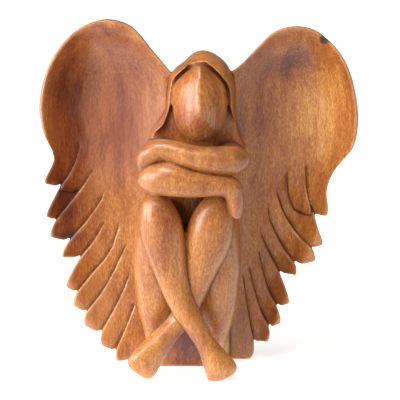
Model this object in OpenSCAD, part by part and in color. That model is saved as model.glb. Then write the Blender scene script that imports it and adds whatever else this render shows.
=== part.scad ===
// Carved wooden angel: seated figure, arms folded on the knees, in front of two scooped wings.
// Millimetres. Z is up, X runs across the wings, the figure looks along -Y.
// The ground is z = 0 and the figure's middle is x = 0.

/* [Wings] */
// Furthest reach of a wing from the middle
wing_reach = 132; // [100:1:160]
// Reach of the left wing at the ground
left_low_reach = 66; // [50:1:100]
// Reach of the right wing at the ground
right_low_reach = 45; // [40:1:100]
// Distance of the deepest line of the scoop from the middle, high on the wing
scoop_high = 84; // [60:1:100]
// The same distance at the foot of the wing
scoop_low = 44; // [30:1:70]
// Depth (y) of the scoop's floor high on the wing
floor_high = 27; // [10:1:40]
// Depth (y) of the scoop's floor at the foot of the wing
floor_low = 10; // [0:1:30]
// How far the rim stands forward of the floor
rim_lift = 42; // [20:1:60]
// Part of that lift that is left at the foot of the wing
low_lift = 0.14; // [0:0.02:1]
// Height where the wing starts to curl forward to its top
curl_start = 215; // [180:1:250]
// Height over which that curl runs
curl_run = 76; // [40:1:110]
// How quickly the wall of the scoop steepens
wall_power = 2.5; // [1.5:0.1:5]
// Width of the blunt lip along the rim, as a part of the way from the floor to the rim
lip = 0.14; // [0.02:0.01:0.25]
// How far the lip rolls over outward; 1 leaves it level at the edge
roll = 1.35; // [1:0.05:1.8]
// Thickness of the wing in the middle of the panel
panel_thick = 13; // [8:1:20]
// Thickness of the wing at the rim
rim_thick = 7; // [4:0.5:12]
// Distance of the seam between wing and back from the middle
seam_x = 22.2; // [15:1:35]

/* [Feathers] */
// Thickness of a feather at its tip
tip_thick = 6.5; // [4:0.5:12]
// Height of the step between two feathers at their tips
step = 4.6; // [0:0.2:8]
// Part of a feather's length that is rounded at the tip
tip_round = 0.14; // [0.05:0.01:0.3]
// How far the rounded tip of a feather reaches past its two corners
tip_push = 2.2; // [0:0.1:5]
// How far the third feather on each wing sinks under the tip above it
under_tip = 6.5; // [0:0.5:8]
// How far the tips spread outward and down past the drawn outlines
spread = [1.5, -1.8]; // [-3:0.1:3]

/* [Figure] */
// Half width of the face
face_half = 23; // [15:0.5:30]
// How far the face stands forward of its widest ring
face_front = 27; // [15:0.5:35]
// Depth (y) of the widest ring of the face
face_y = -14; // [-30:1:0]
// Softness of the upright keel down the brow; 2 is round, less is sharper
keel = 1.5; // [1.2:0.1:2.5]
// Softness of the keel at the chin
keel_low = 2.3; // [1.2:0.1:3]
// Gap of the groove between face and hair
hair_gap = 2.2; // [0.5:0.1:4]
// Depth (y) of the bottom of that groove
gap_floor = -11; // [-20:0.5:0]
// Depth (y) that the neck is hollowed back to
neck_y = -7; // [-15:0.5:0]
// Roundness of the limbs, in points round a ring
ring_points = 14; // [8:2:32]

/* [Base] */
// Left side of the block under the figure
base_left = -42; // [-60:1:-20]
// Right side of the block
base_right = 25; // [15:1:50]
// Front face of the block
base_front = -10; // [-30:1:0]
// Back face of the block
base_back = 42; // [30:1:60]
// Height of the block
base_high = 60; // [20:1:80]
// Radius of the block's upright edges
base_round = 7; // [1:1:15]

/* [Colours] */
// Lit amber wood
wood = [0.72, 0.43, 0.20];
// Slightly darker wood, for the wings
wood_dark = [0.62, 0.35, 0.16];
// Paler wood, for the feathers
wood_pale = [0.76, 0.49, 0.27];

/* [Hidden] */
ground_cut = 200;

// Which node to draw

// ---- small helpers -------------------------------------------------------------------

function mix(a, b, t) = a + (b - a) * t;
function clamp(v, lo, hi) = min(hi, max(lo, v));

// One Catmull-Rom span between b and c
function span(a, b, c, d, t) =
    0.5 * (2 * b + (c - a) * t + (2 * a - 5 * b + 4 * c - d) * t * t
        + (3 * b - a - 3 * c + d) * t * t * t);

// Point at t (0 to 1) on a smooth curve through the points p
function curve(p, t) =
    let (n = len(p) - 1, s = clamp(t, 0, 1) * n, i = min(n - 1, floor(s)))
    span(
        i == 0 ? 2 * p[0] - p[1] : p[i - 1],
        p[i],
        p[i + 1],
        i + 2 > n ? 2 * p[n] - p[n - 1] : p[i + 2],
        s - i
    );

function through(p, n) = [for (k = [0 : n]) curve(p, k / n)];

function unit(v) = v / norm(v);

// A point [distance from the middle, height] on the left (-1) or right (1) wing
function sided(side, p) = [side * p[0], p[1]];

// ---- wing surface --------------------------------------------------------------------

// Reach of the wing, distance of the scoop's deepest line, and depth of its floor, at height z
function reach_at(x, z) =
    x < 0
        ? mix(left_low_reach, wing_reach, pow(clamp(z / 125, 0, 1), 0.6))
        : mix(right_low_reach, wing_reach, pow(clamp(z / 190, 0, 1), 0.87));
function scoop_at(z) = mix(scoop_low, scoop_high, clamp(z / 180, 0, 1));
function floor_at(z) = mix(floor_low, floor_high, clamp(z / 150, 0, 1));

// 0 on the deepest line, 1 at the rim
function toward_rim(x, z) =
    let (
        a = abs(x),
        m = scoop_at(z),
        u = a > m ? (a - m) / (reach_at(x, z) - m) : 0.8 * (m - a) / (m - 18),
        v = max(0, (z - curl_start) / curl_run)
    )
    norm([u, v]);

// The wall of the scoop rises up to the lip, where it turns level and rolls outward
function level_lip(r) =
    let (s = clamp(r - (1 - lip), 0, lip))
    min(r, 1 - lip) + s - roll * s * s / (2 * lip);

// Depth of the front surface and thickness of the wing
function front_y(x, z) =
    floor_at(z) - rim_lift * mix(low_lift, 1, clamp(z / 180, 0, 1))
        * pow(level_lip(toward_rim(x, z)), wall_power);
function wing_thick(x, z) = mix(panel_thick, rim_thick, clamp(pow(toward_rim(x, z), 2), 0, 1));

// Closed solid from rings of equal length; each four-sided patch is split across its short way
module skin(rings) {
    m = len(rings[0]);
    n = len(rings);
    p = [for (r = rings) each r];
    polyhedron(
        points = p,
        faces = concat(
            [[for (j = [0 : m - 1]) j]],
            [for (i = [0 : n - 2], j = [0 : m - 1])
                let (a = i * m + j, b = i * m + (j + 1) % m, c = a + m, d = b + m)
                each norm(p[a] - p[d]) < norm(p[b] - p[c])
                    ? [[a, c, d], [a, d, b]]
                    : [[a, c, b], [b, c, d]]],
            [[for (j = [m - 1 : -1 : 0]) (n - 1) * m + j]]
        ),
        convexity = 8
    );
}

// Ring order that keeps the faces outward on either side of the figure
function wound(side, r) = side > 0 ? r : [for (k = [len(r) - 1 : -1 : 0]) r[k]];

// Shares of the way from seam to rim where the panel is drawn
panel_cols = [0, 0.12, 0.24, 0.36, 0.47, 0.57, 0.66, 0.75, 0.83, 0.89, 0.93, 0.96, 0.98, 1];

// The smooth upper part of a wing: rim holds the free edge, roots the line where feathers start
// turn is the height on the seam that the last point of the rim is joined to
module panel(side, rim, roots, turn) {
    free = 30;
    edge = through(rim, free);
    inward = [for (i = [1 : len(roots) - 1])
        let (n = ceil(norm(roots[i] - roots[i - 1]) / 13))
        each [for (k = [1 : n]) mix(roots[i - 1], roots[i], k / n)]];
    outer = concat(edge, inward);
    last = len(outer) - 1;
    skin([for (i = [0 : last])
        let (
            seam_z = i <= free
                ? mix(rim[0][1] - 2, turn, i / free)
                : mix(turn, roots[len(roots) - 1][1], (i - free) / (last - free)),
            row = [for (f = panel_cols) sided(side, mix([seam_x, seam_z], outer[i], f))],
            thin = mix(0.42, 1, clamp((i - free + 3) / 3, 0, 1))
        )
        wound(-side, concat(
            [for (j = [0 : len(row) - 1])
                let (p = row[j], th = wing_thick(p[0], p[1]), e = j == len(row) - 1 ? thin : 1)
                [p[0], front_y(p[0], p[1]) + th * (1 - e) / 2, p[1]]],
            [for (j = [len(row) - 1 : -1 : 0])
                let (p = row[j], th = wing_thick(p[0], p[1]), e = j == len(row) - 1 ? thin : 1)
                [p[0], front_y(p[0], p[1]) + th * (1 + e) / 2, p[1]]]
        ))]);
}

// One feather between its outer edge and its inner edge, both drawn from root to tip
// Around the share dip_at of its length it sinks by dip, to pass under the tips above it
module feather(side, outer, inner, dip = 0, dip_at = 0) {
    steps = [0, 0.1, 0.22, 0.35, 0.48, 0.61, 0.74, 0.85, 0.93, 0.975, 1];
    across = [0, 0.1, 0.3, 0.6, 0.88, 1];
    skin([for (t = steps)
        let (
            past = clamp((t - 1 + tip_round) / tip_round, 0, 1),
            push = spread * t + tip_push * past * unit(curve(outer, 1) + curve(inner, 1)
                - curve(outer, 0.85) - curve(inner, 0.85)),
            a = curve(outer, t) + push,
            b = curve(inner, t) + push,
            wide = sqrt(1 - 0.55 * past * past),
            rise = step / 2 * pow(t, 0.7),
            sunk = dip * exp(-pow((t - dip_at) / 0.34, 2)),
            thin = 1 - 0.45 * past
        )
        wound(side, concat(
            [for (w = across)
                let (
                    p = sided(side, mix(a, b, 0.5 + (w - 0.5) * wide)),
                    edge = (w == 0 || w == 1) ? 1.2 * t : 0,
                    bevel = 2.4 * past * past
                )
                [
                    p[0],
                    front_y(p[0], p[1]) + (2 * w - 1) * rise + edge + bevel + sunk * (1 - 0.5 * w),
                    p[1]
                ]],
            [for (w = [1, 0.75, 0.35, 0])
                let (
                    p = sided(side, mix(a, b, 0.5 + (w - 0.5) * wide)),
                    th = mix(wing_thick(p[0], p[1]), tip_thick, t) * thin
                )
                [p[0], front_y(p[0], p[1]) + th + 1.2 + (2 * w - 1) * rise * 0.5 + sunk / 2, p[1]]]
        ))]);
}

// ---- limbs ---------------------------------------------------------------------------

// Ring of an oval limb: s = [x, y, z, half width, half depth], d = direction of travel
function ring(s, d, power = 2) =
    let (
        t = unit(d),
        side = unit(cross([0, 1, 0], t)),
        deep = cross(t, side)
    )
    [for (k = [0 : ring_points - 1])
        let (
            q = 360 * k / ring_points,
            c = sign(cos(q)) * pow(abs(cos(q)), 2 / power),
            n = sign(sin(q)) * pow(abs(sin(q)), 2 / power)
        )
        [s[0], s[1], s[2]] + side * s[3] * c + deep * s[4] * n];

// Hull of two rings
module link(a, b) {
    m = len(a);
    hull() polyhedron(
        points = concat(a, b),
        faces = concat(
            [[for (j = [0 : m - 1]) j]],
            [for (j = [0 : m - 1]) each [[j, m + j, (j + 1) % m], [(j + 1) % m, m + j, m + (j + 1) % m]]],
            [[for (j = [m - 1 : -1 : 0]) m + j]]
        )
    );
}

// Smooth limb through the stations p, drawn as n short links
module limb(p, n = 10, power = 2) {
    s = through(p, n);
    rings = [for (i = [0 : n])
        let (a = s[max(0, i - 1)], b = s[min(n, i + 1)])
        ring(s[i], [b[0] - a[0], b[1] - a[1], b[2] - a[2]], power)];
    for (i = [0 : n - 1]) link(rings[i], rings[i + 1]);
}

// Chain of round masses through p = [x, y, z, rx, ry, rz]
module chain(p, n = 8) {
    s = through(p, n);
    for (i = [0 : n - 1]) hull() {
        for (q = [s[i], s[i + 1]])
            translate([q[0], q[1], q[2]]) scale([q[3], q[4], q[5]]) sphere(1, $fn = 12);
    }
}

// Everything under the ground plane, for cutting flat soles
module under_ground() {
    translate([-ground_cut, -ground_cut, -ground_cut]) cube([2 * ground_cut, 2 * ground_cut, ground_cut]);
}

// ---- plain bodies, before they are cut to their neighbours -----------------------------

module face_egg(grow = 0, reach = 0) {
    levels = [
        [192.5, 0.12, 0.4], [194.5, 0.42, 0.5], [199, 0.71, 0.65], [206, 0.9, 0.82],
        [214, 0.98, 0.94], [220, 1.0, 1], [225, 1.0, 0.97], [232, 0.985, 0.89], [239, 0.9, 0.8],
        [245, 0.72, 0.73], [249.5, 0.48, 0.63], [253, 0.25, 0.53], [255, 0.08, 0.46]
    ];
    rings = [for (l = levels)
        let (
            w = face_half * l[1] + grow,
            f = face_front * l[2] + grow + reach,
            soft = mix(keel_low, keel, clamp((l[0] - 199) / 24, 0, 1))
        )
        [for (k = [0 : ring_points + 1])
            let (q = 360 * k / (ring_points + 2), c = cos(q), s = sin(q))
            [w * s, face_y + (c > 0 ? -f * (1 - pow(abs(s), soft)) : -c * 16 * l[1]),
                l[0] + grow * (l[0] - 222) / 30]]];
    for (i = [0 : len(rings) - 2]) link(rings[i], rings[i + 1]);
}

module hair_body() {
    limb([
        [-2.5, 4, 185, 42, 22], [-2.3, 4, 193, 40, 26], [-0.7, 4, 203, 33.2, 29],
        [0.4, 3, 214, 29.6, 29], [1.1, 3, 229, 28.5, 30], [1.4, 2, 243, 26.2, 30],
        [1.5, 1, 252, 21.4, 26.5], [0.7, 1, 258, 13.6, 19], [0, 0, 261, 5.5, 10]
    ], 16, 2.5);
}

// Space round the face and in front of the neck. The hood stands clear of the face down to
// gap_floor, and the flared skirt under the face is hollowed back to neck_y.
module hair_opening() {
    tall = 100;
    face_egg();
    intersection() {
        face_egg(hair_gap, 22);
        translate([-tall / 2, gap_floor - tall, 170]) cube(tall);
    }
    translate([0, neck_y, 0]) rotate([90, 0, 0]) linear_extrude(tall / 2)
        polygon([[-46, 170], [-44, 195], [-35.5, 199.5], [-30, 204.5], [-26.6, 213], [-24, 222],
            [24, 222], [26.8, 212], [29.6, 200], [34.5, 191.5], [44, 186], [44, 170]]);
}

module torso_body() {
    limb([
        [-5, 14, 48, 29, 23], [-4, 12, 66, 27, 25.5], [-1, 12, 108, 25, 25], [0, 10, 142, 29, 27],
        [0, 7, 168, 34, 29], [-1, 6, 183, 34, 28], [-1, 7, 194, 29.5, 25], [0, 8, 202, 24, 20]
    ], 13, 2.4);
}

module left_forearm_body() {
    limb([
        [-45, -36, 164, 5, 6], [-42.5, -42.5, 165.5, 9.5, 10.5], [-35, -48.5, 166.5, 13.5, 12.5],
        [-23, -51, 167, 14.5, 13], [-8, -52, 163.5, 12, 12.5], [7, -52, 162.5, 10, 12],
        [20, -51, 162, 9, 11]
    ], 10);
}

module left_hand_body() {
    limb([
        [14, -51, 162.3, 8, 10], [20, -51, 161.8, 8.7, 10.6], [25.8, -50, 158.5, 9.2, 10.5],
        [28, -49, 150, 7.4, 9.2], [28.9, -48.4, 142, 6.3, 7.6], [29.3, -48, 136.8, 4.9, 5.8],
        [29.4, -47.8, 134.4, 3, 4]
    ], 12);
}

module right_forearm_body() {
    limb([
        [34, -35, 182, 5, 6], [32, -42, 182, 10, 10.5], [22.5, -49, 181, 12.2, 12.5],
        [8, -51, 182, 11, 12.5], [-8, -50.5, 184.5, 10, 12], [-20, -49, 188, 9.5, 11],
        [-28, -48, 190, 9, 10.5]
    ], 10);
}

module right_hand_body() {
    limb([
        [-22, -48.6, 188.8, 8, 9.5], [-28, -48, 190, 8.7, 10.1], [-37, -47, 188, 9.5, 10.5],
        [-44, -45, 182, 8, 9.5], [-46.5, -43.5, 175.5, 4.6, 7], [-46, -43, 171.5, 2, 3.5]
    ], 10);
}

module left_upper_arm_body() {
    chain([
        [-31, 2, 183, 16, 17, 11], [-35, -12, 181, 13.5, 15, 12.5], [-37.5, -26, 176, 10.5, 14, 14],
        [-38, -34, 171, 8, 10, 13]
    ]);
}

module right_upper_arm_body() {
    chain([
        [23, 2, 180, 15, 17, 11], [26, -12, 179, 12.5, 15, 11], [28.5, -25, 179.5, 10.5, 13, 10.5],
        [29, -33, 181, 8, 10, 9.5]
    ]);
}

module left_shin_body() {
    limb([
        [-36, -31, 154, 6, 7], [-36, -37, 146, 12, 13], [-33.2, -40, 134, 17, 15.5],
        [-30.4, -41, 119, 18.4, 16], [-26.2, -40.5, 101, 16.2, 14.6], [-21.8, -40, 84, 13.6, 13],
        [-15.5, -41.5, 64, 11.2, 11.6], [-6.7, -43.5, 48.5, 9.4, 10.4], [3, -45, 33, 8.6, 9.6]
    ], 14);
}

module left_foot_body() {
    limb([
        [-0.5, -44.4, 39, 7.4, 8.4], [3, -45, 33, 8.2, 9.2], [8.6, -46, 23.5, 9.6, 10],
        [13.2, -47.5, 15.5, 11.8, 10.3], [17.2, -49, 8.6, 14, 9], [19.3, -50, 4.6, 13.4, 7],
        [20.6, -50.4, 1.8, 9.5, 4]
    ], 12);
}

module right_shin_body() {
    limb([
        [15, -30, 156, 6, 7], [14.5, -35, 146, 12, 12.5], [11, -37.5, 134, 17, 14.5],
        [8, -38.5, 120, 19.7, 15.5], [4, -37.5, 105, 17.2, 14], [0, -36, 90, 14.2, 12.8],
        [-4, -34.6, 74, 11, 11.6], [-10, -34.6, 57.5, 10, 11], [-20, -37, 43, 9.5, 10]
    ], 14);
}

module right_foot_body() {
    limb([
        [-15, -36, 49, 8.2, 8.8], [-20, -37, 43, 9.1, 9.6], [-29, -39, 33, 10, 10],
        [-38, -41.5, 23, 11.8, 9.5], [-46, -44.5, 12.8, 13.6, 8.5], [-49.6, -46, 7.6, 12.8, 6],
        [-51.6, -46.6, 4.8, 9, 3.6]
    ], 12);
}

module left_thigh_body() {
    limb([
        [-32, -17, 148, 9, 12], [-34.5, -18, 138, 14.5, 17], [-36.3, -19, 124, 16.4, 20],
        [-36.8, -18, 108, 18.2, 21.5], [-36.8, -16, 90, 18.8, 22], [-36.3, -13, 71, 18.5, 21],
        [-36.5, -10, 52, 16.3, 18.5], [-38.5, -6, 30, 8.8, 14], [-41, -3, 12, 4, 9]
    ], 14);
}

module right_thigh_body() {
    limb([
        [14, -16, 150, 9, 12], [15, -17, 140, 13, 17], [15.6, -17.5, 120, 17.4, 21],
        [15.7, -17, 98, 18.5, 22.5], [15, -15.5, 74, 18.3, 22], [13.5, -12, 50, 16.8, 20],
        [12.5, -8, 28, 11.3, 15], [12, -5, 8, 5, 9]
    ], 13);
}

module block_body() {
    r = base_round;
    hull() {
        for (x = [base_left + r, base_right - r], y = [base_front + r, base_back - r])
            translate([x, y, 0]) cylinder(r = r, h = base_high, $fn = 32);
    }
}

module legs_body() {
    left_shin_body();
    left_foot_body();
    right_shin_body();
    right_foot_body();
}

module arms_body() {
    left_forearm_body();
    right_forearm_body();
    left_hand_body();
    right_hand_body();
}

// ---- wing outlines, as [distance from the middle, height] -------------------------------

left_rim = [[24, 247], [40, 266.5], [49, 278.5], [60, 287.5], [80, 291], [104, 280], [124, 254],
    [132.3, 225], [131, 203], [122.8, 181]];
right_rim = [[24, 246], [35, 254], [47, 267], [61, 281], [79, 285.5], [97, 280.5], [115, 263],
    [125, 242], [130.5, 213], [128.3, 189], [120, 175.5]];

// Outer edge, then inner edge, of each feather, from the top feather down
left_feathers = [
    [[[122.8, 181], [121.5, 174], [124, 167], [128.5, 159.5]],
        [[101.5, 189], [103, 176], [108.5, 162.5], [116, 152.5]]],
    [[[101.5, 189], [103, 176], [108.5, 162.5], [116, 152.5]],
        [[90, 164], [94.5, 156.5], [99.5, 149], [105.5, 144]]],
    [[[115, 156], [118.5, 148.5], [123, 139.5], [127.2, 131]],
        [[98.5, 150.5], [103.8, 141.5], [112.3, 132], [119, 125]]],
    [[[90, 164], [99.5, 148.5], [113, 132], [119.5, 124.5], [125.5, 114]],
        [[80, 147.5], [84.5, 136], [97, 118.5], [109, 106]]],
    [[[80, 147.5], [84.5, 136], [97, 118.5], [109, 106], [116, 95.5]],
        [[81, 119.5], [86.5, 108.5], [93, 99], [100, 91.5]]],
    [[[81, 119.5], [86.5, 108.5], [93, 99], [100.5, 90.5], [112.5, 71]],
        [[68, 119.5], [76, 94], [90.5, 76.5], [103, 62.5]]],
    [[[68, 119.5], [76, 94], [90.5, 76.5], [103, 62], [106.5, 54.5]],
        [[62, 101.5], [74, 75], [84.5, 57], [95.5, 45]]],
    [[[62, 101.5], [74, 75], [84.5, 57], [96, 44], [97.5, 36]],
        [[59, 77], [66, 58.5], [73.5, 43], [82.5, 27]]],
    [[[59, 77], [66, 58.5], [73.5, 43], [83, 26.5], [83.5, 18.5]],
        [[55, 50], [60, 36.5], [65, 23.5], [70, 11]]],
    [[[55, 50], [60, 36.5], [65, 23.5], [70.5, 11], [70.5, 3.5]],
        [[43, 28], [44, 18], [49, 9], [58, 1.2]]]
];
right_feathers = [
    [[[120, 175.5], [111, 163.3], [105.2, 148], [106.5, 131.5]],
        [[90, 168], [89.5, 156], [90, 144], [93.5, 129]]],
    [[[90, 168], [89.5, 156], [90, 144], [93.5, 129]],
        [[75.5, 168], [74, 156], [74.5, 142], [79, 128]]],
    [[[75.5, 168], [74, 154], [84, 146], [94.5, 132], [97.3, 119], [102.3, 106.5]],
        [[65, 144], [66.5, 137], [70, 127.5], [77, 115], [84.5, 106.5], [92, 101.5]]],
    [[[65, 144], [68.5, 131], [76, 116.5], [85, 106], [92.5, 101], [97, 92.5]],
        [[57.5, 135], [58.5, 122], [65, 106], [73.5, 92], [79, 86.5]]],
    [[[57.5, 135], [58.5, 122], [65, 106], [73.5, 92], [79.5, 85.5], [81, 79]],
        [[49.5, 116], [53.5, 103], [59.5, 89.5], [66.5, 76.5]]],
    [[[49.5, 116], [53.5, 103], [59.5, 89.5], [67, 75.5], [75.5, 56]],
        [[49.5, 95], [52.5, 79.5], [57.5, 61.5], [63, 49.5]]],
    [[[49.5, 95], [52.5, 79.5], [57.5, 61.5], [63.5, 50], [68, 39]],
        [[41, 82.5], [46, 61], [51.5, 42.5], [57, 31.5]]],
    [[[41, 82.5], [46, 61], [51.5, 42.5], [57.5, 31], [58.5, 22.5]],
        [[35.5, 78.5], [39, 53], [41.5, 35.5], [44.5, 17]]],
    [[[35.5, 78.5], [39, 53], [41.5, 35.5], [45, 16.5], [45.5, 5.5]],
        [[28, 50], [25, 34], [22, 17], [21, 1.2]]]
];

// The first corner of each feather's two edges is where it grows out of the panel
left_roots = [left_feathers[0][0][0], left_feathers[0][1][0], left_feathers[1][1][0],
    for (i = [3 : 9]) left_feathers[i][1][0]];
right_roots = [right_feathers[0][0][0], for (i = [0 : 8]) right_feathers[i][1][0]];

// The third feather on either wing starts under the tip of the second
module left_feather(i) {
    color(wood_pale) difference() {
        feather(-1, left_feathers[i - 1][0], left_feathers[i - 1][1], i == 3 ? under_tip : 0, 0.05);
        if (i > 7) left_thigh_body();
        if (i > 8) block_body();
        if (i > 8) right_foot_body();
        if (i > 8) under_ground();
    }
}

module right_feather(i) {
    color(wood_pale) difference() {
        feather(1, right_feathers[i - 1][0], right_feathers[i - 1][1], i == 3 ? under_tip : 0, 0.42);
        if (i > 6) right_thigh_body();
        if (i > 8) block_body();
        if (i > 8) under_ground();
    }
}

// ---- sub-parts -------------------------------------------------------------------------

// Block that the figure sits on; its flat underside is the resting face
module base_block() {
    color(wood_dark) difference() {
        block_body();
        legs_body();
        left_thigh_body();
        right_thigh_body();
    }
}

// Trunk: back, shoulders and the back of the neck
module torso() {
    color(wood) difference() {
        torso_body();
        block_body();
        legs_body();
        arms_body();
        left_thigh_body();
        right_thigh_body();
        left_upper_arm_body();
        right_upper_arm_body();
        hair_body();
        face_egg();
    }
}

// Smooth egg of a face, with a soft upright keel and no features
module head() {
    color(wood) difference() {
        face_egg();
        right_forearm_body();
    }
}

// Hood of hair round the face, flaring on to the shoulders
module hair() {
    color(wood_dark) difference() {
        hair_body();
        hair_opening();
        left_upper_arm_body();
        right_upper_arm_body();
        arms_body();
    }
}

module left_upper_arm() {
    color(wood) difference() {
        left_upper_arm_body();
        arms_body();
        left_shin_body();
    }
}

module right_upper_arm() {
    color(wood) difference() {
        right_upper_arm_body();
        arms_body();
    }
}

module left_forearm() {
    color(wood) difference() {
        left_forearm_body();
        right_forearm_body();
        right_hand_body();
    }
}

module left_hand() {
    color(wood) difference() {
        left_hand_body();
        left_forearm_body();
        right_forearm_body();
    }
}

module right_forearm() {
    color(wood) right_forearm_body();
}

module right_hand() {
    color(wood) difference() {
        right_hand_body();
        right_forearm_body();
    }
}

module left_thigh() {
    color(wood) difference() {
        left_thigh_body();
        legs_body();
        arms_body();
        under_ground();
    }
}

module left_shin() {
    color(wood) difference() {
        left_shin_body();
        arms_body();
    }
}

module left_foot() {
    color(wood) difference() {
        left_foot_body();
        left_shin_body();
        under_ground();
    }
}

module right_thigh() {
    color(wood) difference() {
        right_thigh_body();
        left_thigh_body();
        legs_body();
        arms_body();
        under_ground();
    }
}

module right_shin() {
    color(wood) difference() {
        right_shin_body();
        left_shin_body();
        left_foot_body();
        arms_body();
    }
}

module right_foot() {
    color(wood) difference() {
        right_foot_body();
        right_shin_body();
        left_shin_body();
        left_foot_body();
        under_ground();
    }
}

module left_wing() {
    color(wood_dark) difference() {
        panel(-1, left_rim, left_roots, 240);
        torso_body();
        hair_body();
        left_upper_arm_body();
        left_thigh_body();
        block_body();
    }
}

module right_wing() {
    color(wood_dark) difference() {
        panel(1, right_rim, right_roots, 210);
        torso_body();
        hair_body();
        right_upper_arm_body();
        right_thigh_body();
        block_body();
    }
}

base_block();
torso();
head();
hair();
left_upper_arm();
left_forearm();
left_hand();
right_upper_arm();
right_forearm();
right_hand();
left_thigh();
left_shin();
left_foot();
right_thigh();
right_shin();
right_foot();
left_wing();
right_wing();
left_feather(1);  // left_feather_1
left_feather(2);  // left_feather_2
left_feather(3);  // left_feather_3
left_feather(4);  // left_feather_4
left_feather(5);  // left_feather_5
left_feather(6);  // left_feather_6
left_feather(7);  // left_feather_7
left_feather(8);  // left_feather_8
left_feather(9);  // left_feather_9
left_feather(10);  // left_feather_10
right_feather(1);  // right_feather_1
right_feather(2);  // right_feather_2
right_feather(3);  // right_feather_3
right_feather(4);  // right_feather_4
right_feather(5);  // right_feather_5
right_feather(6);  // right_feather_6
right_feather(7);  // right_feather_7
right_feather(8);  // right_feather_8
right_feather(9);  // right_feather_9
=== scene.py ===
"""Carved wooden angel: sculpted wood pieces, wax-finished hardwood, soft studio light.

Every visible piece is carved from the CAD nodes. All nodes are joined as one distance field, the
joined surface is smoothed where it is broad and kept crisp along its creases, lines are cut
between feathers and limbs, and the surface is divided again along the seams of the nodes, one
closed piece for each node. Lengths are in metres; the frame is the CAD frame.
"""
import math

import bpy
import numpy as np
import openvdb as vdb
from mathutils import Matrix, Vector

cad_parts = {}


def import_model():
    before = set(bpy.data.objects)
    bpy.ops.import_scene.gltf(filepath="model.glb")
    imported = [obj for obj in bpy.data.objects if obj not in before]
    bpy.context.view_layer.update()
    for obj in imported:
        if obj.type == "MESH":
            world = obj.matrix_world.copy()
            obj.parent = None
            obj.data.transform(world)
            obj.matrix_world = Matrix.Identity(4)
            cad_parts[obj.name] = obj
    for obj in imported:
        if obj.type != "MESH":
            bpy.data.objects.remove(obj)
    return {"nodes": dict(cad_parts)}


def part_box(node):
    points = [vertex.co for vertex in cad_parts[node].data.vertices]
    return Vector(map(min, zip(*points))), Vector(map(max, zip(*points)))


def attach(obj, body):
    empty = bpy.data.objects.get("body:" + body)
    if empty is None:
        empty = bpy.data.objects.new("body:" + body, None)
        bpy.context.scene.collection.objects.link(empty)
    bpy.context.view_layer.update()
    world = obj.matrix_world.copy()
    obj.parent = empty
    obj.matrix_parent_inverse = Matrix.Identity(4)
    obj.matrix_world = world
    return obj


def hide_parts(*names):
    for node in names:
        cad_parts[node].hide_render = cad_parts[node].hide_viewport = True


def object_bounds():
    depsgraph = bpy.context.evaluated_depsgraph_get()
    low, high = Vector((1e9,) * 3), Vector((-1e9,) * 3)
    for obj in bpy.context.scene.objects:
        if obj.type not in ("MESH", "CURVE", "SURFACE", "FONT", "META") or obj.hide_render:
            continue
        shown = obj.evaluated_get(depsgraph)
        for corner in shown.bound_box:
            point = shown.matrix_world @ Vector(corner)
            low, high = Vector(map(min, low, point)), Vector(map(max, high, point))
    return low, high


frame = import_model()
cad_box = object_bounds()

MM = 0.001

NODES = list(frame["nodes"])
FEATHERS = [n for n in NODES if "_feather_" in n]
WINGS = ["left_wing", "right_wing"]


def put(name, data):
    """A new object in the scene."""
    item = bpy.data.objects.new(name, data)
    bpy.context.scene.collection.objects.link(item)
    return item


# ---- distance fields ---------------------------------------------------------------------

# Grid spacing; a field reaches BAND voxels from its surface, and a window has MARGIN round its box
VOXEL = 0.82 * MM
BAND = 7
MARGIN = 8
REACH = BAND * VOXEL
TRANSFORM = vdb.createLinearTransform(voxelSize=VOXEL)


def level_set(points, triangles=None, quads=None):
    """Signed distance grid of a closed surface, in metres."""
    empty3 = np.zeros((0, 3), np.uint32)
    empty4 = np.zeros((0, 4), np.uint32)
    return vdb.FloatGrid.createLevelSetFromPolygons(
        np.ascontiguousarray(points, np.float32),
        triangles=empty3 if triangles is None else np.ascontiguousarray(triangles, np.uint32),
        quads=empty4 if quads is None else np.ascontiguousarray(quads, np.uint32),
        transform=TRANSFORM, halfWidth=float(BAND))


def surface_of(node):
    """Points and triangles of a CAD node's mesh."""
    mesh = frame["nodes"][node].data
    mesh.calc_loop_triangles()
    points = np.empty(len(mesh.vertices) * 3, np.float32)
    mesh.vertices.foreach_get("co", points)
    triangles = np.empty(len(mesh.loop_triangles) * 3, np.int32)
    mesh.loop_triangles.foreach_get("vertices", triangles)
    return points.reshape(-1, 3), triangles.reshape(-1, 3)


def window(low, high):
    """First voxel and array shape that cover a box with a margin."""
    first = np.floor(np.array(low) / VOXEL).astype(int) - MARGIN
    last = np.ceil(np.array(high) / VOXEL).astype(int) + MARGIN
    return first, tuple(last - first + 1)


def dense(grid, first, shape):
    """Array of a grid's values in a window."""
    values = np.empty(shape, np.float32)
    grid.copyToArray(values, ijk=tuple(int(v) for v in first))
    return values


def sparse(values, first):
    """Grid of an array's values, whose first voxel is given."""
    grid = vdb.FloatGrid(REACH)
    grid.transform = TRANSFORM
    grid.copyFromArray(np.ascontiguousarray(values), ijk=tuple(int(v) for v in first))
    return grid


def sample(values, first, points):
    """Values of a grid at points, from the nearest eight voxels."""
    place = points / VOXEL - first
    base = np.clip(np.floor(place).astype(int), 0, np.array(values.shape) - 2)
    share = np.clip(place - base, 0, 1)
    total = np.zeros(len(points))
    for corner in np.ndindex(2, 2, 2):
        weight = np.prod(np.where(corner, share, 1 - share), axis=1)
        total += weight * values[tuple((base + corner).T)]
    return total


def nearest(values, first, points):
    """Value of the voxel that a point is in."""
    place = np.rint(points / VOXEL).astype(int) - first
    return values[tuple(np.clip(place, 0, np.array(values.shape) - 1).T)]


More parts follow.
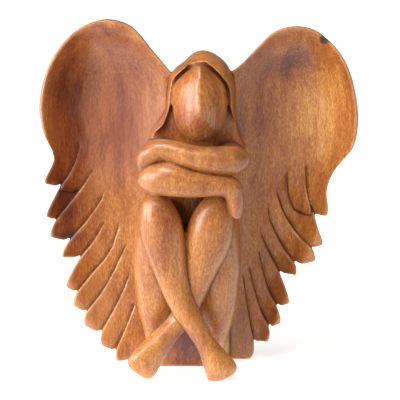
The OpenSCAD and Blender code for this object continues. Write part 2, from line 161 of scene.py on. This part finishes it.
class Block:
    """All CAD nodes as one distance field, as if they were still one block of wood.

    joined and second are the distances from the nearest and the next nearest node, owner and
    runner are those nodes' places in NODES, and panel is the distance from the wings' smooth
    panels. fields has every node's part of the block, first voxel and own distance field.
    """

    def __init__(self):
        self.first, shape = window(*cad_box)
        self.joined = np.full(shape, REACH, np.float32)
        self.second = self.joined.copy()
        self.panel = self.joined.copy()
        self.owner = np.full(shape, -1, np.int16)
        self.runner = self.owner.copy()
        self.fields = {node: self.join(index, node) for index, node in enumerate(NODES)}
        for wing in WINGS:
            part, _, field = self.fields[wing]
            self.panel[part] = np.minimum(self.panel[part], field)

    def join(self, index, node):
        """Joins a node and returns its part of the block, first voxel and distance field."""
        points, triangles = surface_of(node)
        start, size = window(points.min(0), points.max(0))
        start = np.maximum(start, self.first)
        size = tuple(np.minimum(start + size, self.first + self.joined.shape) - start)
        field = dense(level_set(points, triangles), start, size)
        part = tuple(slice(a, a + n) for a, n in zip(start - self.first, size))
        joined, second, owner = self.joined[part], self.second[part], self.owner[part]
        nearer = field < joined
        close = ~nearer & (field < second)
        self.runner[part] = np.where(nearer, owner, np.where(close, index, self.runner[part]))
        self.second[part] = np.where(nearer, joined, np.where(close, field, second))
        self.joined[part] = np.where(nearer, field, joined)
        self.owner[part] = np.where(nearer, index, owner)
        return part, start, field

    def seam_distance(self, points):
        """How far points on the surface are from the seam with the next node."""
        second = sample(self.second, self.first, points)
        return (second - sample(self.joined, self.first, points)) / 2

    def nodes_at(self, points):
        """Places in NODES of the nearest and the next nearest node."""
        return nearest(self.owner, self.first, points), nearest(self.runner, self.first, points)


# ---- joined surface ------------------------------------------------------------------------

# Rounds of smoothing: to judge how straight the surface is, to spread that to the neighbours, for
# the broad surfaces, and for everything at the end
JUDGING_ROUNDS = 14
SPREADING_ROUNDS = 6
BROAD_ROUNDS = 110
LAST_ROUNDS = 3
BROAD_WEIGHT = 1.6
# Straightness at which a surface starts to count as broad, and counts in full
STRAIGHT = (0.9, 0.965)
# Nodes that count as broad by a share, keel and edges too, but not next to a seam
SOFTENED = {"head": 0.35, "hair": 0.2}
NEXT_TO_SEAM = (0.5 * MM, 2.5 * MM)


def step_between(low, high, value):
    """0 below low, 1 above high, smooth in between."""
    t = np.clip((value - low) / (high - low), 0, 1)
    return t * t * (3 - 2 * t)


class Skin:
    """Quad mesh of the joined surface, with the sums over neighbours that smoothing needs."""

    def __init__(self, points, quads):
        self.points = points.astype(np.float64)
        self.quads = quads
        self.start = quads.ravel()
        self.end = np.roll(quads, -1, axis=1).ravel()
        self.count = np.maximum(np.bincount(self.start, minlength=len(points)), 1)

    def around(self, values):
        """Mean of the neighbours' values."""
        if values.ndim == 1:
            return np.bincount(self.start, values[self.end], len(self.count)) / self.count
        return np.stack([self.around(values[:, k]) for k in range(values.shape[1])], 1)

    def blur(self, values, rounds, weight=1.0):
        """Values moved towards the neighbours' mean, half way each round at weight 1."""
        for _ in range(rounds):
            values = values + 0.5 * weight * (self.around(values) - values)
        return values

    def normals(self):
        """Outward unit normal at each point."""
        corner = self.points[self.quads]
        face = np.cross(corner[:, 2] - corner[:, 0], corner[:, 3] - corner[:, 1])
        total = np.zeros_like(self.points)
        for k in range(4):
            for axis in range(3):
                total[:, axis] += np.bincount(self.quads[:, k], face[:, axis], len(total))
        return total / np.maximum(np.linalg.norm(total, axis=1, keepdims=True), 1e-12)


def smooth_skin(skin, block):
    """Takes the facets off broad surfaces and leaves creases and rims nearly as they are."""
    straightness = np.linalg.norm(skin.blur(skin.normals(), JUDGING_ROUNDS), axis=1)
    node, _ = block.nodes_at(skin.points)
    soft = sum(share * (node == NODES.index(name)) for name, share in SOFTENED.items())
    soft = soft * step_between(*NEXT_TO_SEAM, block.seam_distance(skin.points))
    broad = np.maximum(step_between(*STRAIGHT, straightness), soft)
    weight = BROAD_WEIGHT * skin.blur(broad, SPREADING_ROUNDS)[:, None]
    before = skin.points
    after = skin.blur(before, BROAD_ROUNDS, weight)
    shrink = skin.blur(after - before, BROAD_ROUNDS, weight)
    skin.points = skin.blur(after - shrink, LAST_ROUNDS)


# ---- carved details ------------------------------------------------------------------------

# Lines between feathers, which fade in from the smooth panels, and creases between other nodes
GROOVE_DEEP = 0.9 * MM
GROOVE_WIDE = 0.75 * MM
GROOVE_FADE = 4 * MM
CREASE_DEEP = 0.5 * MM
# Rounds of smoothing for the depth of a line
LINE_ROUNDS = 2
# How far the surface has to face forward for a line to start, and to be cut in full
FORWARD = (0.1, 0.6)

# The small chip in the right wing's rim: place across the wing, drop below the rim, size, how far
# it sinks, and the ripples of its broken ground, in radians a metre and as a share of its depth
CHIP_AT = 0.735
CHIP_DROP = 2.5 * MM
CHIP_WIDE = 3.2 * MM
CHIP_TALL = 3.4 * MM
CHIP_DEEP = 1.4 * MM
CHIP_SINK = 0.4 * CHIP_DEEP
CHIP_RIPPLES = (2100, 1700)
CHIP_ROUGH = 0.3
# How far the surface has to face forward for the chip to start, and to be cut in full
CHIP_FORWARD = (-0.5, 0)

# Pairs of nodes that run into each other without a cut line
FLOWING = {frozenset(pair) for pair in (
    ("left_forearm", "left_hand"), ("right_forearm", "right_hand"),
    ("left_shin", "left_foot"), ("right_shin", "right_foot"),
    ("left_upper_arm", "left_forearm"), ("right_upper_arm", "right_forearm"),
    ("left_upper_arm", "torso"), ("right_upper_arm", "torso"),
    ("left_wing", "torso"), ("right_wing", "torso"), ("base_block", "torso"))}


def groove_between(a, b):
    """Depth of the line cut where nodes a and b meet."""
    if a in FEATHERS and b in FEATHERS:
        return GROOVE_DEEP
    if a in FEATHERS + WINGS and b in FEATHERS + WINGS:
        return 0
    return 0 if frozenset((a, b)) in FLOWING else CREASE_DEEP


# Depth of the line for every pair of nodes; the last row and column stand for no node
GROOVES = np.pad([[groove_between(a, b) for b in NODES] for a in NODES], (0, 1))


def groove_depth(block, points, one, other):
    """Depth of the line at points, between nodes one and other; feather lines fade in."""
    deep = GROOVES[one, other]
    fade = step_between(0, GROOVE_FADE, sample(block.panel, block.first, points))
    return np.where(deep == GROOVE_DEEP, deep * fade, deep)


def line_depth(skin, block):
    """Depth of the lines between feathers and between limbs, at each point of the surface."""
    deep = groove_depth(block, skin.points, *block.nodes_at(skin.points))
    deep = skin.blur(deep, LINE_ROUNDS)
    return deep * np.exp(-(block.seam_distance(skin.points) / GROOVE_WIDE) ** 2)


def chip_middle(points):
    """The middle of the chip, on the surface before the lines are cut."""
    low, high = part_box("right_wing")
    x = low.x + CHIP_AT * (high.x - low.x)
    rim = points[np.abs(points[:, 0] - x) < MM, 2].max()
    return x, 0, rim - CHIP_DROP


def chip_share(points, middle):
    """Share of the chip's depth at each point."""
    x, _, z = ((points - middle) / (CHIP_WIDE, 1, CHIP_TALL)).T
    across, up = CHIP_RIPPLES
    ripple = np.sin(points[:, 0] * across) * np.cos(points[:, 2] * up)
    return np.exp(-(x ** 2 + z ** 2)) * (1 + CHIP_ROUGH * ripple)


def carve(skin, block):
    """Cuts the lines and knocks out the chip, whose share at each point it returns."""
    normals = skin.normals()
    middle = chip_middle(skin.points)
    cut = line_depth(skin, block) * step_between(*FORWARD, -normals[:, 1])
    skin.points = skin.points - normals * cut[:, None]
    share = chip_share(skin.points, middle) * step_between(*CHIP_FORWARD, -normals[:, 1])
    skin.points[:, 1] += CHIP_DEEP * share
    skin.points[:, 2] -= CHIP_SINK * share
    return share


# ---- pieces --------------------------------------------------------------------------------

# A piece runs on for OVERLAP past its seams, under the neighbours' surface: DIP of a millimetre
# down at one millimetre past the seam, and more with the square of the distance
OVERLAP = 2.2 * MM
DIP = 0.1

# Rounds of smoothing against which hollows and ridges are measured
HOLLOW_ROUNDS = 40
# Millimetres of hollow that the chip's broken ground counts for, and the share of the chip's
# depth at which that starts and is in full
CHIP_HOLLOW = 3
CHIP_BROKEN = (0.2, 0.45)

# How far an edge has turned from the front, from the back and from the light for its shade to
# start, and to be in full; and the share of a downward slope that counts as turned from the light
EDGE_FROM_FRONT = (-0.5, -0.15)
EDGE_FROM_BACK = (-0.8, -0.4)
EDGE_FROM_LIGHT = (-0.5, -0.1)
UNDERSIDE = 0.6


def largest(points, quads):
    """The biggest connected part of a quad mesh."""
    label = np.arange(len(points))
    while True:
        low = label[quads].min(1)
        fresh = label.copy()
        for k in range(4):
            np.minimum.at(fresh, quads[:, k], low)
        fresh = fresh[fresh]
        if (fresh == label).all():
            break
        label = fresh
    counts = np.bincount(label[quads[:, 0]], minlength=len(points))
    keep = label == counts.argmax()
    place = np.cumsum(keep) - 1
    return points[keep], place[quads[keep[quads[:, 0]]]]


def cavity_grid(skin, chip, block):
    """Grid of how far each bit of the surface lies in a hollow (+) or on a ridge (-), in mm."""
    shape = block.joined.shape
    hollow = ((skin.blur(skin.points, HOLLOW_ROUNDS) - skin.points) * skin.normals()).sum(1) / MM
    hollow += CHIP_HOLLOW * step_between(*CHIP_BROKEN, chip)
    place = np.rint(skin.points / VOXEL).astype(int) - block.first
    flat = np.ravel_multi_index(np.clip(place, 0, np.array(shape) - 1).T, shape)
    size = int(np.prod(shape))
    total = np.bincount(flat, hollow, size).reshape(shape).astype(np.float32)
    count = np.bincount(flat, minlength=size).reshape(shape).astype(np.float32)
    for axis in range(3):
        total = total + np.roll(total, 1, axis) + np.roll(total, -1, axis)
        count = count + np.roll(count, 1, axis) + np.roll(count, -1, axis)
    return total / np.maximum(count, 1)


def piece_mesh(name, points, quads):
    """Smooth-shaded mesh of quads."""
    mesh = bpy.data.meshes.new(name)
    mesh.vertices.add(len(points))
    mesh.vertices.foreach_set("co", points.astype(np.float32).ravel())
    mesh.loops.add(quads.size)
    mesh.loops.foreach_set("vertex_index", quads.astype(np.int32).ravel())
    mesh.polygons.add(len(quads))
    mesh.polygons.foreach_set("loop_start", np.arange(0, quads.size, 4, dtype=np.int32))
    mesh.update(calc_edges=True)
    mesh.validate()
    mesh.shade_smooth()
    return mesh


def shaded_side(node, mesh):
    """1 where a wing's or feather's edge turns away from the light, to the right, up or down."""
    normals = np.empty(len(mesh.vertices) * 3, np.float32)
    mesh.vertex_normals.foreach_get("vector", normals)
    x, y, z = normals.reshape(-1, 3).T
    edge = step_between(*EDGE_FROM_FRONT, y) * step_between(*EDGE_FROM_BACK, -y)
    side = edge * step_between(*EDGE_FROM_LIGHT, x - UNDERSIDE * np.minimum(z, 0))
    return side if node in WINGS + FEATHERS else 0 * side


def record(mesh, name, values):
    """Stores a value for each point of a mesh, for the material to read."""
    layer = mesh.attributes.new(name, "FLOAT", "POINT")
    layer.data.foreach_set("value", values.astype(np.float32))


def cut_piece(block, body, hollow, index, node):
    """Closed mesh of one node, cut from the carved body along the node's seams.

    Its points store how far they are in a hollow and past the seam, both in millimetres, the
    depth of the nearest line as a share of the deepest, and how far they are on a shaded edge.
    """
    part, start, field = block.fields[node]
    others = np.where(block.owner[part] == index, block.second[part], block.joined[part])
    past = (field - others) / 2
    buried = DIP * np.maximum(past, 0) ** 2 / MM
    shape = np.maximum(body[part] + buried, past - OVERLAP)
    points, quads = sparse(shape, start).convertToQuads(0.0)
    points, quads = largest(points, quads.astype(np.int64))
    near, next_near = block.nodes_at(points)
    other = np.where(near == index, next_near, near)
    mesh = piece_mesh(node + "_carved", points, quads)
    record(mesh, "hollow", sample(hollow, block.first, points))
    record(mesh, "seam", sample(past, start, points) / MM)
    record(mesh, "cut", groove_depth(block, points, index, other) / GROOVE_DEEP)
    record(mesh, "side", shaded_side(node, mesh))
    return mesh


def sculpt():
    """One smooth, closed piece for each CAD node."""
    block = Block()
    points, quads = sparse(block.joined, block.first).convertToQuads(0.0)
    skin = Skin(points, quads.astype(np.int64))
    smooth_skin(skin, block)
    chip = carve(skin, block)
    hollow = cavity_grid(skin, chip, block)
    body = dense(level_set(skin.points, quads=skin.quads), block.first, block.joined.shape)
    pieces = {}
    for index, node in enumerate(NODES):
        mesh = cut_piece(block, body, hollow, index, node)
        pieces[node] = put(mesh.name, mesh)
    return pieces


# ---- wood ----------------------------------------------------------------------------------

# The tree's axis in x and y, behind the figure, and the distance between growth rings
TREE_AXIS = (0.02, 0.26)
RING_GAP = 3.1 * MM

# Colours of the wood from its darkest to its lightest tone
TONES = [
    (0, (0.1, 0.02, 0.01)), (0.25, (0.23, 0.056, 0.017)), (0.5, (0.38, 0.125, 0.03)),
    (0.75, (0.56, 0.24, 0.052)), (1, (0.76, 0.43, 0.12))]
# Colours that are laid over it
PINKISH = (0.46, 0.2, 0.11)
# Painted shade for the end of a feather
END_SHADE = (0.07, 0.035, 0.035)
PORE = (0.12, 0.034, 0.013)
# Grime and painted shade laid into the hollows
GRIME_AND_SHADE = (0.1, 0.027, 0.012)
WORN = (0.66, 0.33, 0.13)
SHADE = (0.1, 0.035, 0.018)
BROKEN = (0.045, 0.036, 0.03)
# Painted shade in the cut lines between feathers and in the creases between limbs
LINE_SHADE = (0.05, 0.014, 0.007)

# Broad figure of the board, with painted shade under the wings' rims, beside the head, on the left
# shin's side away from the light and round the base, and painted light on parts facing the lamps:
# (x, z, reach in x, reach in z) in millimetres and the change of tone
FIGURE_AND_PAINTED_SHADING = [
    ((-108, 228, 24, 66), -0.3), ((-119, 138, 24, 44), -0.42), ((76, 252, 44, 22), -0.36),
    ((44, 205, 26, 80), -0.2), ((-64, 215, 44, 90), -0.2), ((-82, 178, 34, 40), -0.14),
    ((-27, 108, 13, 46), -0.2), ((-12, 16, 27, 34), -0.6), ((-46, 92, 26, 80), -0.02),
    ((92, 198, 38, 50), 0.14), ((20, 62, 20, 48), 0.1), ((-8, 208, 20, 24), -0.16),
    ((-76, 284, 28, 12), -0.3), ((-72, 26, 22, 28), 0.3), ((64, 120, 22, 30), 0.16),
    ((24, 10, 24, 24), 0.16), ((-44, 12, 22, 24), 0.08)]
# Painted shade on the dark end of the fourth feather on the left, whose end wall and the feather
# below it lie in shade
DARK_END = (-114, 108, 25, 9)
# Where growth rings show strongly, and where the wood is calm, with hardly a fleck
RINGED = (0, 212, 34, 44)
CALM = (-72, 205, 66, 100)
# Where the wood turns pinkish and pale
PALE_TIPS = [(-82, 36, 36, 40), (48, 20, 34, 36)]


class Graph:
    """Short ways to write down a material's nodes."""

    def __init__(self, name):
        self.material = bpy.data.materials.new(name)
        self.material.use_nodes = True
        self.tree = self.material.node_tree
        self.tree.nodes.clear()

    def add(self, kind, inputs=(), **settings):
        """A new node; an input is a constant or the socket that it is linked to."""
        node = self.tree.nodes.new(kind)
        for key, value in settings.items():
            setattr(node, key, value)
        for key, value in dict(inputs).items():
            if isinstance(value, bpy.types.NodeSocket):
                self.tree.links.new(value, node.inputs[key])
            else:
                node.inputs[key].default_value = value
        return node

    def place(self):
        """The place in the object's own space."""
        return self.add("ShaderNodeTexCoord").outputs["Object"]

    def stored(self, name):
        """The value that a piece's points store under a name."""
        return self.add("ShaderNodeAttribute", attribute_name=name).outputs["Fac"]

    def math(self, operation, *values):
        """The result of one operation on numbers."""
        return self.add("ShaderNodeMath", enumerate(values), operation=operation).outputs[0]

    def total(self, *terms, more=0):
        """Sum of values, each times its weight, and of one more number."""
        for value, weight in terms:
            more = self.math("MULTIPLY_ADD", value, weight, more)
        return more

    def stretch(self, vector, scale, move=(0, 0, 0)):
        """A vector times a scale, and then moved."""
        return self.add(
            "ShaderNodeMapping", {"Vector": vector, "Scale": scale, "Location": move}).outputs[0]

    def length(self, vector):
        """The length of a vector."""
        return self.add("ShaderNodeVectorMath", {0: vector}, operation="LENGTH").outputs["Value"]

    def noise(self, vector, scale, detail, rough=0.5, move=(0, 0, 0)):
        """Noise from 0 to 1; scale is in cycles per millimetre along x, y and z."""
        place = self.stretch(vector, tuple(k / MM for k in scale), move)
        return self.add("ShaderNodeTexNoise", {
            "Vector": place, "Scale": 1, "Detail": detail, "Roughness": rough}).outputs[0]

    def ramp(self, value, stops, smooth=False):
        """A value turned into a colour or a grey, through (value, colour) stops."""
        node = self.add("ShaderNodeValToRGB", {0: value})
        band = node.color_ramp
        band.interpolation = "EASE" if smooth else "LINEAR"
        while len(band.elements) < len(stops):
            band.elements.new(0.5)
        for element, (place, colour) in zip(band.elements, stops):
            element.position = place
            element.color = (*colour, 1) if isinstance(colour, tuple) else (colour,) * 3 + (1,)
        return node.outputs[0]

    def cover(self, under, over, share, strength=1):
        """A colour with another laid over it, by a share that strength scales."""
        node = self.add("ShaderNodeMix", data_type="RGBA")
        share = self.math("MULTIPLY", share, strength)
        for key, value in (("Factor_Float", share), ("A_Color", under), ("B_Color", over)):
            socket = next(k for k in node.inputs if k.identifier == key)
            if isinstance(value, bpy.types.NodeSocket):
                self.tree.links.new(value, socket)
            else:
                socket.default_value = (*value, 1)
        return next(k for k in node.outputs if k.identifier == "Result_Color")

    def principled(self, **inputs):
        """The material, with a principled shader; Base_Color stands for its input Base Color."""
        inputs = {key.replace("_", " "): value for key, value in inputs.items()}
        shader = self.add("ShaderNodeBsdfPrincipled", inputs)
        self.add("ShaderNodeOutputMaterial", {"Surface": shader.outputs[0]})
        return self.material


def patch(g, place, spot):
    """1 in the middle of a soft oval patch and 0 outside it."""
    x, z, wide, tall = spot
    oval = g.stretch(place, (1 / (wide * MM), 0, 1 / (tall * MM)), (-x / wide, 0, -z / tall))
    return g.ramp(g.length(oval), [(0, 1), (1, 0)], True)


def growth_rings(g, place):
    """How light the growth rings are, round the tree's axis and with some sway."""
    split = g.add("ShaderNodeSeparateXYZ", {0: place})
    x = g.math("SUBTRACT", split.outputs[0], TREE_AXIS[0])
    y = g.math("SUBTRACT", split.outputs[1], TREE_AXIS[1])
    radius = g.math("SQRT", g.total((x, x), (y, y)))
    sway = g.noise(place, (0.012, 0.012, 0.005), detail=2)
    wander = g.noise(place, (0.05, 0.05, 0.02), detail=3)
    rings = g.math("FRACT", g.total((sway, 14), (wander, 4), (radius, 1 / RING_GAP)))
    return g.ramp(rings, [(0, 0.9), (0.5, 0.62), (0.8, 0.15), (0.93, 0.3), (1, 0.9)])


def wavering(g, place):
    """The place moved to and fro by about a centimetre, which frays the patches' outlines."""
    waves = g.add("ShaderNodeTexNoise", {
        "Vector": g.stretch(place, (35, 35, 14)), "Scale": 1, "Detail": 3})
    shift = g.stretch(waves.outputs["Color"], (0.03, 0.03, 0.06), (-0.015, -0.015, -0.03))
    return g.add("ShaderNodeVectorMath", {0: place, 1: shift}, operation="ADD").outputs[0]


def board(g, place, ribbon, fibre, fleck):
    """Colour of the sound wood: rings, ribbon figure, fibres, flecks and its broad figure, with
    painted shade and painted light in that figure, pinkish pale tips and painted shade on a
    feather's dark end.
    """
    broad = g.noise(place, (0.016, 0.03, 0.007), detail=3, rough=0.55, move=(3.1, 0, 0))
    ringed = g.total((patch(g, place, RINGED), 0.16), more=0.08)
    flecked = g.total((patch(g, place, CALM), -0.7), more=1.1)
    tone = g.total(
        (broad, 0.7), (ribbon, 0.62), (growth_rings(g, place), ringed), (fibre, 0.22),
        (g.math("SUBTRACT", fleck, 0.5), flecked), more=-0.31)
    frayed = wavering(g, place)
    # Broad figure with painted shade and painted light
    tone = g.total(*((patch(g, frayed, spot), change) for spot, change in FIGURE_AND_PAINTED_SHADING), more=tone)
    colour = g.ramp(tone, TONES)
    for spot in PALE_TIPS:
        colour = g.cover(colour, PINKISH, patch(g, frayed, spot), strength=0.5)
    # Painted shade on the fourth feather's dark end
    return g.cover(colour, END_SHADE, patch(g, place, DARK_END), strength=0.9)


def cut_lines(g):
    """1 in the lines between feathers and 0 away from the seams."""
    near = g.math("ABSOLUTE", g.stored("seam"))
    near = g.ramp(near, [(0, 1), (0.15, 1), (0.6, 0), (1, 0)], True)
    return g.math("MULTIPLY", near, g.stored("cut"))


def wood():
    """Waxed amber hardwood, with pores, grime and painted shade in the hollows, wear on the
    ridges, and painted shade in the cut lines.
    """
    g = Graph("waxed_hardwood")
    place = g.place()
    ribbon = g.noise(place, (0.13, 0.13, 0.018), detail=4, rough=0.62)
    fibre = g.noise(place, (1.1, 1.1, 0.09), detail=3, rough=0.6)
    fleck = g.noise(place, (0.78, 0.78, 0.3), detail=4, rough=0.7, move=(0, 5.2, 0))
    pores = g.noise(place, (2.2, 2.2, 0.4), detail=1, move=(0, 0, 7.7))
    pore = g.ramp(pores, [(0, 1), (0.33, 1), (0.42, 0), (1, 0)])
    ripple = g.noise(place, (0.15, 0.15, 0.08), detail=2)
    line = cut_lines(g)
    # Hollows hold grime and painted shade, ridges are worn, and only the chip's ground counts as a
    # very deep hollow
    hollow = g.stored("hollow")
    grime_and_shade = g.ramp(hollow, [(0, 0), (0.08, 0), (0.8, 0.85)])
    worn = g.ramp(g.math("MULTIPLY", hollow, -0.7), [(0, 0), (0.1, 0), (0.8, 0.45)])
    broken = g.ramp(g.math("MULTIPLY", hollow, 0.3), [(0, 0), (0.45, 0), (0.65, 1)])
    colour = board(g, place, ribbon, fibre, fleck)
    colour = g.cover(colour, PORE, pore, strength=0.35)
    colour = g.cover(colour, GRIME_AND_SHADE, grime_and_shade)
    colour = g.cover(colour, WORN, worn)
    colour = g.cover(colour, SHADE, g.stored("side"), strength=0.7)
    colour = g.cover(colour, BROKEN, broken)
    # Painted shade in the cut lines and creases
    colour = g.cover(colour, LINE_SHADE, line, strength=0.85)
    relief = g.total((fibre, 0.4), (pore, -0.5), (ripple, 1.2))
    bump = g.add("ShaderNodeBump", {"Height": relief, "Strength": 0.3, "Distance": 0.2 * MM})
    rough = g.ramp(g.total((fleck, 0.5), (ribbon, 0.5)), [(0.25, 0.34), (0.75, 0.5)])
    # The wax coat is missing from the lines and from the grime and painted shade in the hollows
    clean = g.math("SUBTRACT", 1, g.math("MAXIMUM", line, grime_and_shade))
    return g.principled(
        Base_Color=colour, Roughness=g.total((line, 0.4), more=rough), Normal=bump.outputs[0],
        Specular_IOR_Level=0.35, Coat_Weight=g.math("MULTIPLY", clean, 0.65), Coat_Roughness=0.2)


# ---- stage ---------------------------------------------------------------------------------

CAMERA_AWAY = 1.25
CAMERA_RISE = math.radians(10)
CAMERA_AIM = Vector((0, 0, 0.1408))
# Both in millimetres
LENS_LENGTH = 135
FILM_WIDE = 36

SKY = (1, 0.95, 0.9, 1)
SKY_STRENGTH = 0.18
SUN_STRENGTH = 0.9
SUN_ANGLE = math.radians(50)
SUN_WAY = Vector((0.3, 0.45, -0.84))
WARM_WHITE = (1, 0.975, 0.94)
LIGHTS_AIM = Vector((0, 0, 0.13))
# Soft boxes: place, width and height, and power
SOFT_BOXES = {
    "window": ((-1.02, -0.74, 0.56), (0.5, 0.8), 13.5),
    "side": ((-1.2, -0.1, 0.42), (0.6, 0.6), 9),
    "ceiling": ((-0.3, -0.5, 1.1), (0.45, 0.3), 6)}

FLOOR_REACH = 14
# The floor's glow is painted light: it lights the carving from below and keeps its shadow on the
# floor faint. It glows less in a soft pool in front: its middle, its reach in x and y, and grey
# and glow in the pool and beyond it
POOL_AHEAD = 0.5
POOL_REACH = (0.85, 0.46)
POOL_GREY, FLOOR_GREY = 0.7, 0.9
POOL_GLOW, FLOOR_GLOW = 0.08, 0.7


def place_camera():
    """Long lens in front, a little above the horizontal."""
    data = bpy.data.cameras.new("camera")
    data.lens = LENS_LENGTH
    data.sensor_width = FILM_WIDE
    data.dof.use_dof = False
    camera = put("camera", data)
    back = Vector((0, -math.cos(CAMERA_RISE), math.sin(CAMERA_RISE)))
    camera.location = CAMERA_AIM + CAMERA_AWAY * back
    camera.rotation_euler = (math.pi / 2 - CAMERA_RISE, 0, 0)
    bpy.context.scene.camera = camera


def turned(way):
    """Rotation of a light that shines a way."""
    return way.to_track_quat("-Z", "Y").to_euler()


def soft_box(name, place, size, power):
    """Rectangular light that shines at the carving."""
    data = bpy.data.lights.new(name, "AREA")
    data.shape = "RECTANGLE"
    data.size, data.size_y = size
    data.energy = power
    data.color = WARM_WHITE
    light = put(name, data)
    light.location = place
    light.rotation_euler = turned(LIGHTS_AIM - Vector(place))


def light_studio():
    """Dim warm sky, a very soft sun for the room, and soft boxes on the left and above."""
    world = bpy.data.worlds.new("studio")
    world.use_nodes = True
    sky = world.node_tree.nodes["Background"]
    sky.inputs["Color"].default_value = SKY
    sky.inputs["Strength"].default_value = SKY_STRENGTH
    bpy.context.scene.world = world
    sun = bpy.data.lights.new("room", "SUN")
    sun.energy = SUN_STRENGTH
    sun.angle = SUN_ANGLE
    put("room", sun).rotation_euler = turned(SUN_WAY)
    for name, (place, size, power) in SOFT_BOXES.items():
        soft_box(name, place, size, power)


def pale_floor():
    """Matte white floor with a glow of its own, painted light that is weak in the soft pool."""
    g = Graph("pale_floor")
    wide, long = POOL_REACH
    pool = g.stretch(g.place(), (1 / wide, 1 / long, 0), (0, POOL_AHEAD / long, 0))
    lit = g.ramp(g.length(pool), [(0, 0), (0.5, 0), (1, 1)], True)
    colour = g.cover((POOL_GREY,) * 3, (FLOOR_GREY,) * 3, lit)
    glow = g.total((lit, FLOOR_GLOW - POOL_GLOW), more=POOL_GLOW)
    return g.principled(
        Base_Color=colour, Roughness=0.8, Specular_IOR_Level=0.2,
        Emission_Color=(1, 1, 1, 1), Emission_Strength=glow)


def lay_floor():
    """Large floor plane under the carving."""
    far = FLOOR_REACH
    corners = [(-far, -far, 0), (far, -far, 0), (far, far, 0), (-far, far, 0)]
    mesh = bpy.data.meshes.new("floor")
    mesh.from_pydata(corners, [], [(0, 1, 2, 3)])
    mesh.materials.append(pale_floor())
    floor = put("floor", mesh)


# ---- scene ---------------------------------------------------------------------------------

place_camera()
light_studio()
lay_floor()
hardwood = wood()
for node, piece in sculpt().items():
    piece.data.materials.append(hardwood)
    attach(piece, "root")
    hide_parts(node)
bpy.context.scene.view_settings.view_transform = "Standard"
